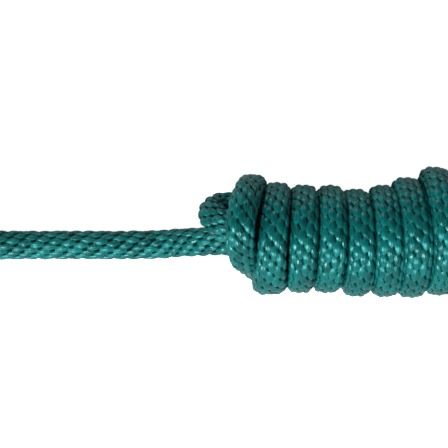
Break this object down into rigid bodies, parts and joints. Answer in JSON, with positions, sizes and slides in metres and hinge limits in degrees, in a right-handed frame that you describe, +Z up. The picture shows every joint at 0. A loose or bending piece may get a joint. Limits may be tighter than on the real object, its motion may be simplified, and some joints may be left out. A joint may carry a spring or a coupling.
{
  "type": "lead rope",
  "caption": "Braided horse lead rope wound into a hank, with a clamped eye loop and a swivelling, sprung bolt snap for a halter ring.",
  "frame": {"origin": "middle of the flat strip on which the hank rests, on the surface under it", "axes": "+X along the hank, away from the snap; +Y across it; +Z up from the surface that the rope lies on"},
  "size_m": [0.4751, 0.0704, 0.07],
  "materials": {
    "braided_rope": "teal multifilament polypropylene, solid braid, soft silky sheen",
    "nickel_plate": "bright nickel plate over a zinc casting, lightly handled",
    "rolled_clamp": "nickel-plated rolled steel band, satin",
    "spring_steel": "drawn spring wire"
  },
  "bodies": {
    "rope": {"rope_hank": "braided_rope", "rope_left_bight": "braided_rope", "rope_right_bight": "braided_rope", "rope_tail": "braided_rope", "rope_clamp": "rolled_clamp"},
    "eye": {"swivel_eye": "nickel_plate"},
    "snap": {"snap_body": "nickel_plate", "bolt_spring": "spring_steel"},
    "bolt": {"snap_bolt": "nickel_plate", "thumb_stud": "nickel_plate"}
  },
  "joints": [
    {"name": "eye_pivot", "type": "hinge", "parent": "rope", "child": "eye", "pos_m": [-0.242, 0.00475, 0.0152], "axis": [0, 0, 1], "range_deg": [-70, 70]},
    {"name": "swivel_spin", "type": "hinge", "parent": "eye", "child": "snap", "pos_m": [-0.25425, 0.00475, 0.0152], "axis": [-0.9954, 0, -0.0958], "continuous": true},
    {"name": "bolt_slide", "type": "slide", "parent": "snap", "child": "bolt", "axis": [0.9954, 0, 0.0958], "range_m": [0, 0.013], "stiffness_N_per_m": 550, "springref_m": -0.009, "deforming": ["bolt_spring"]}
  ]
}
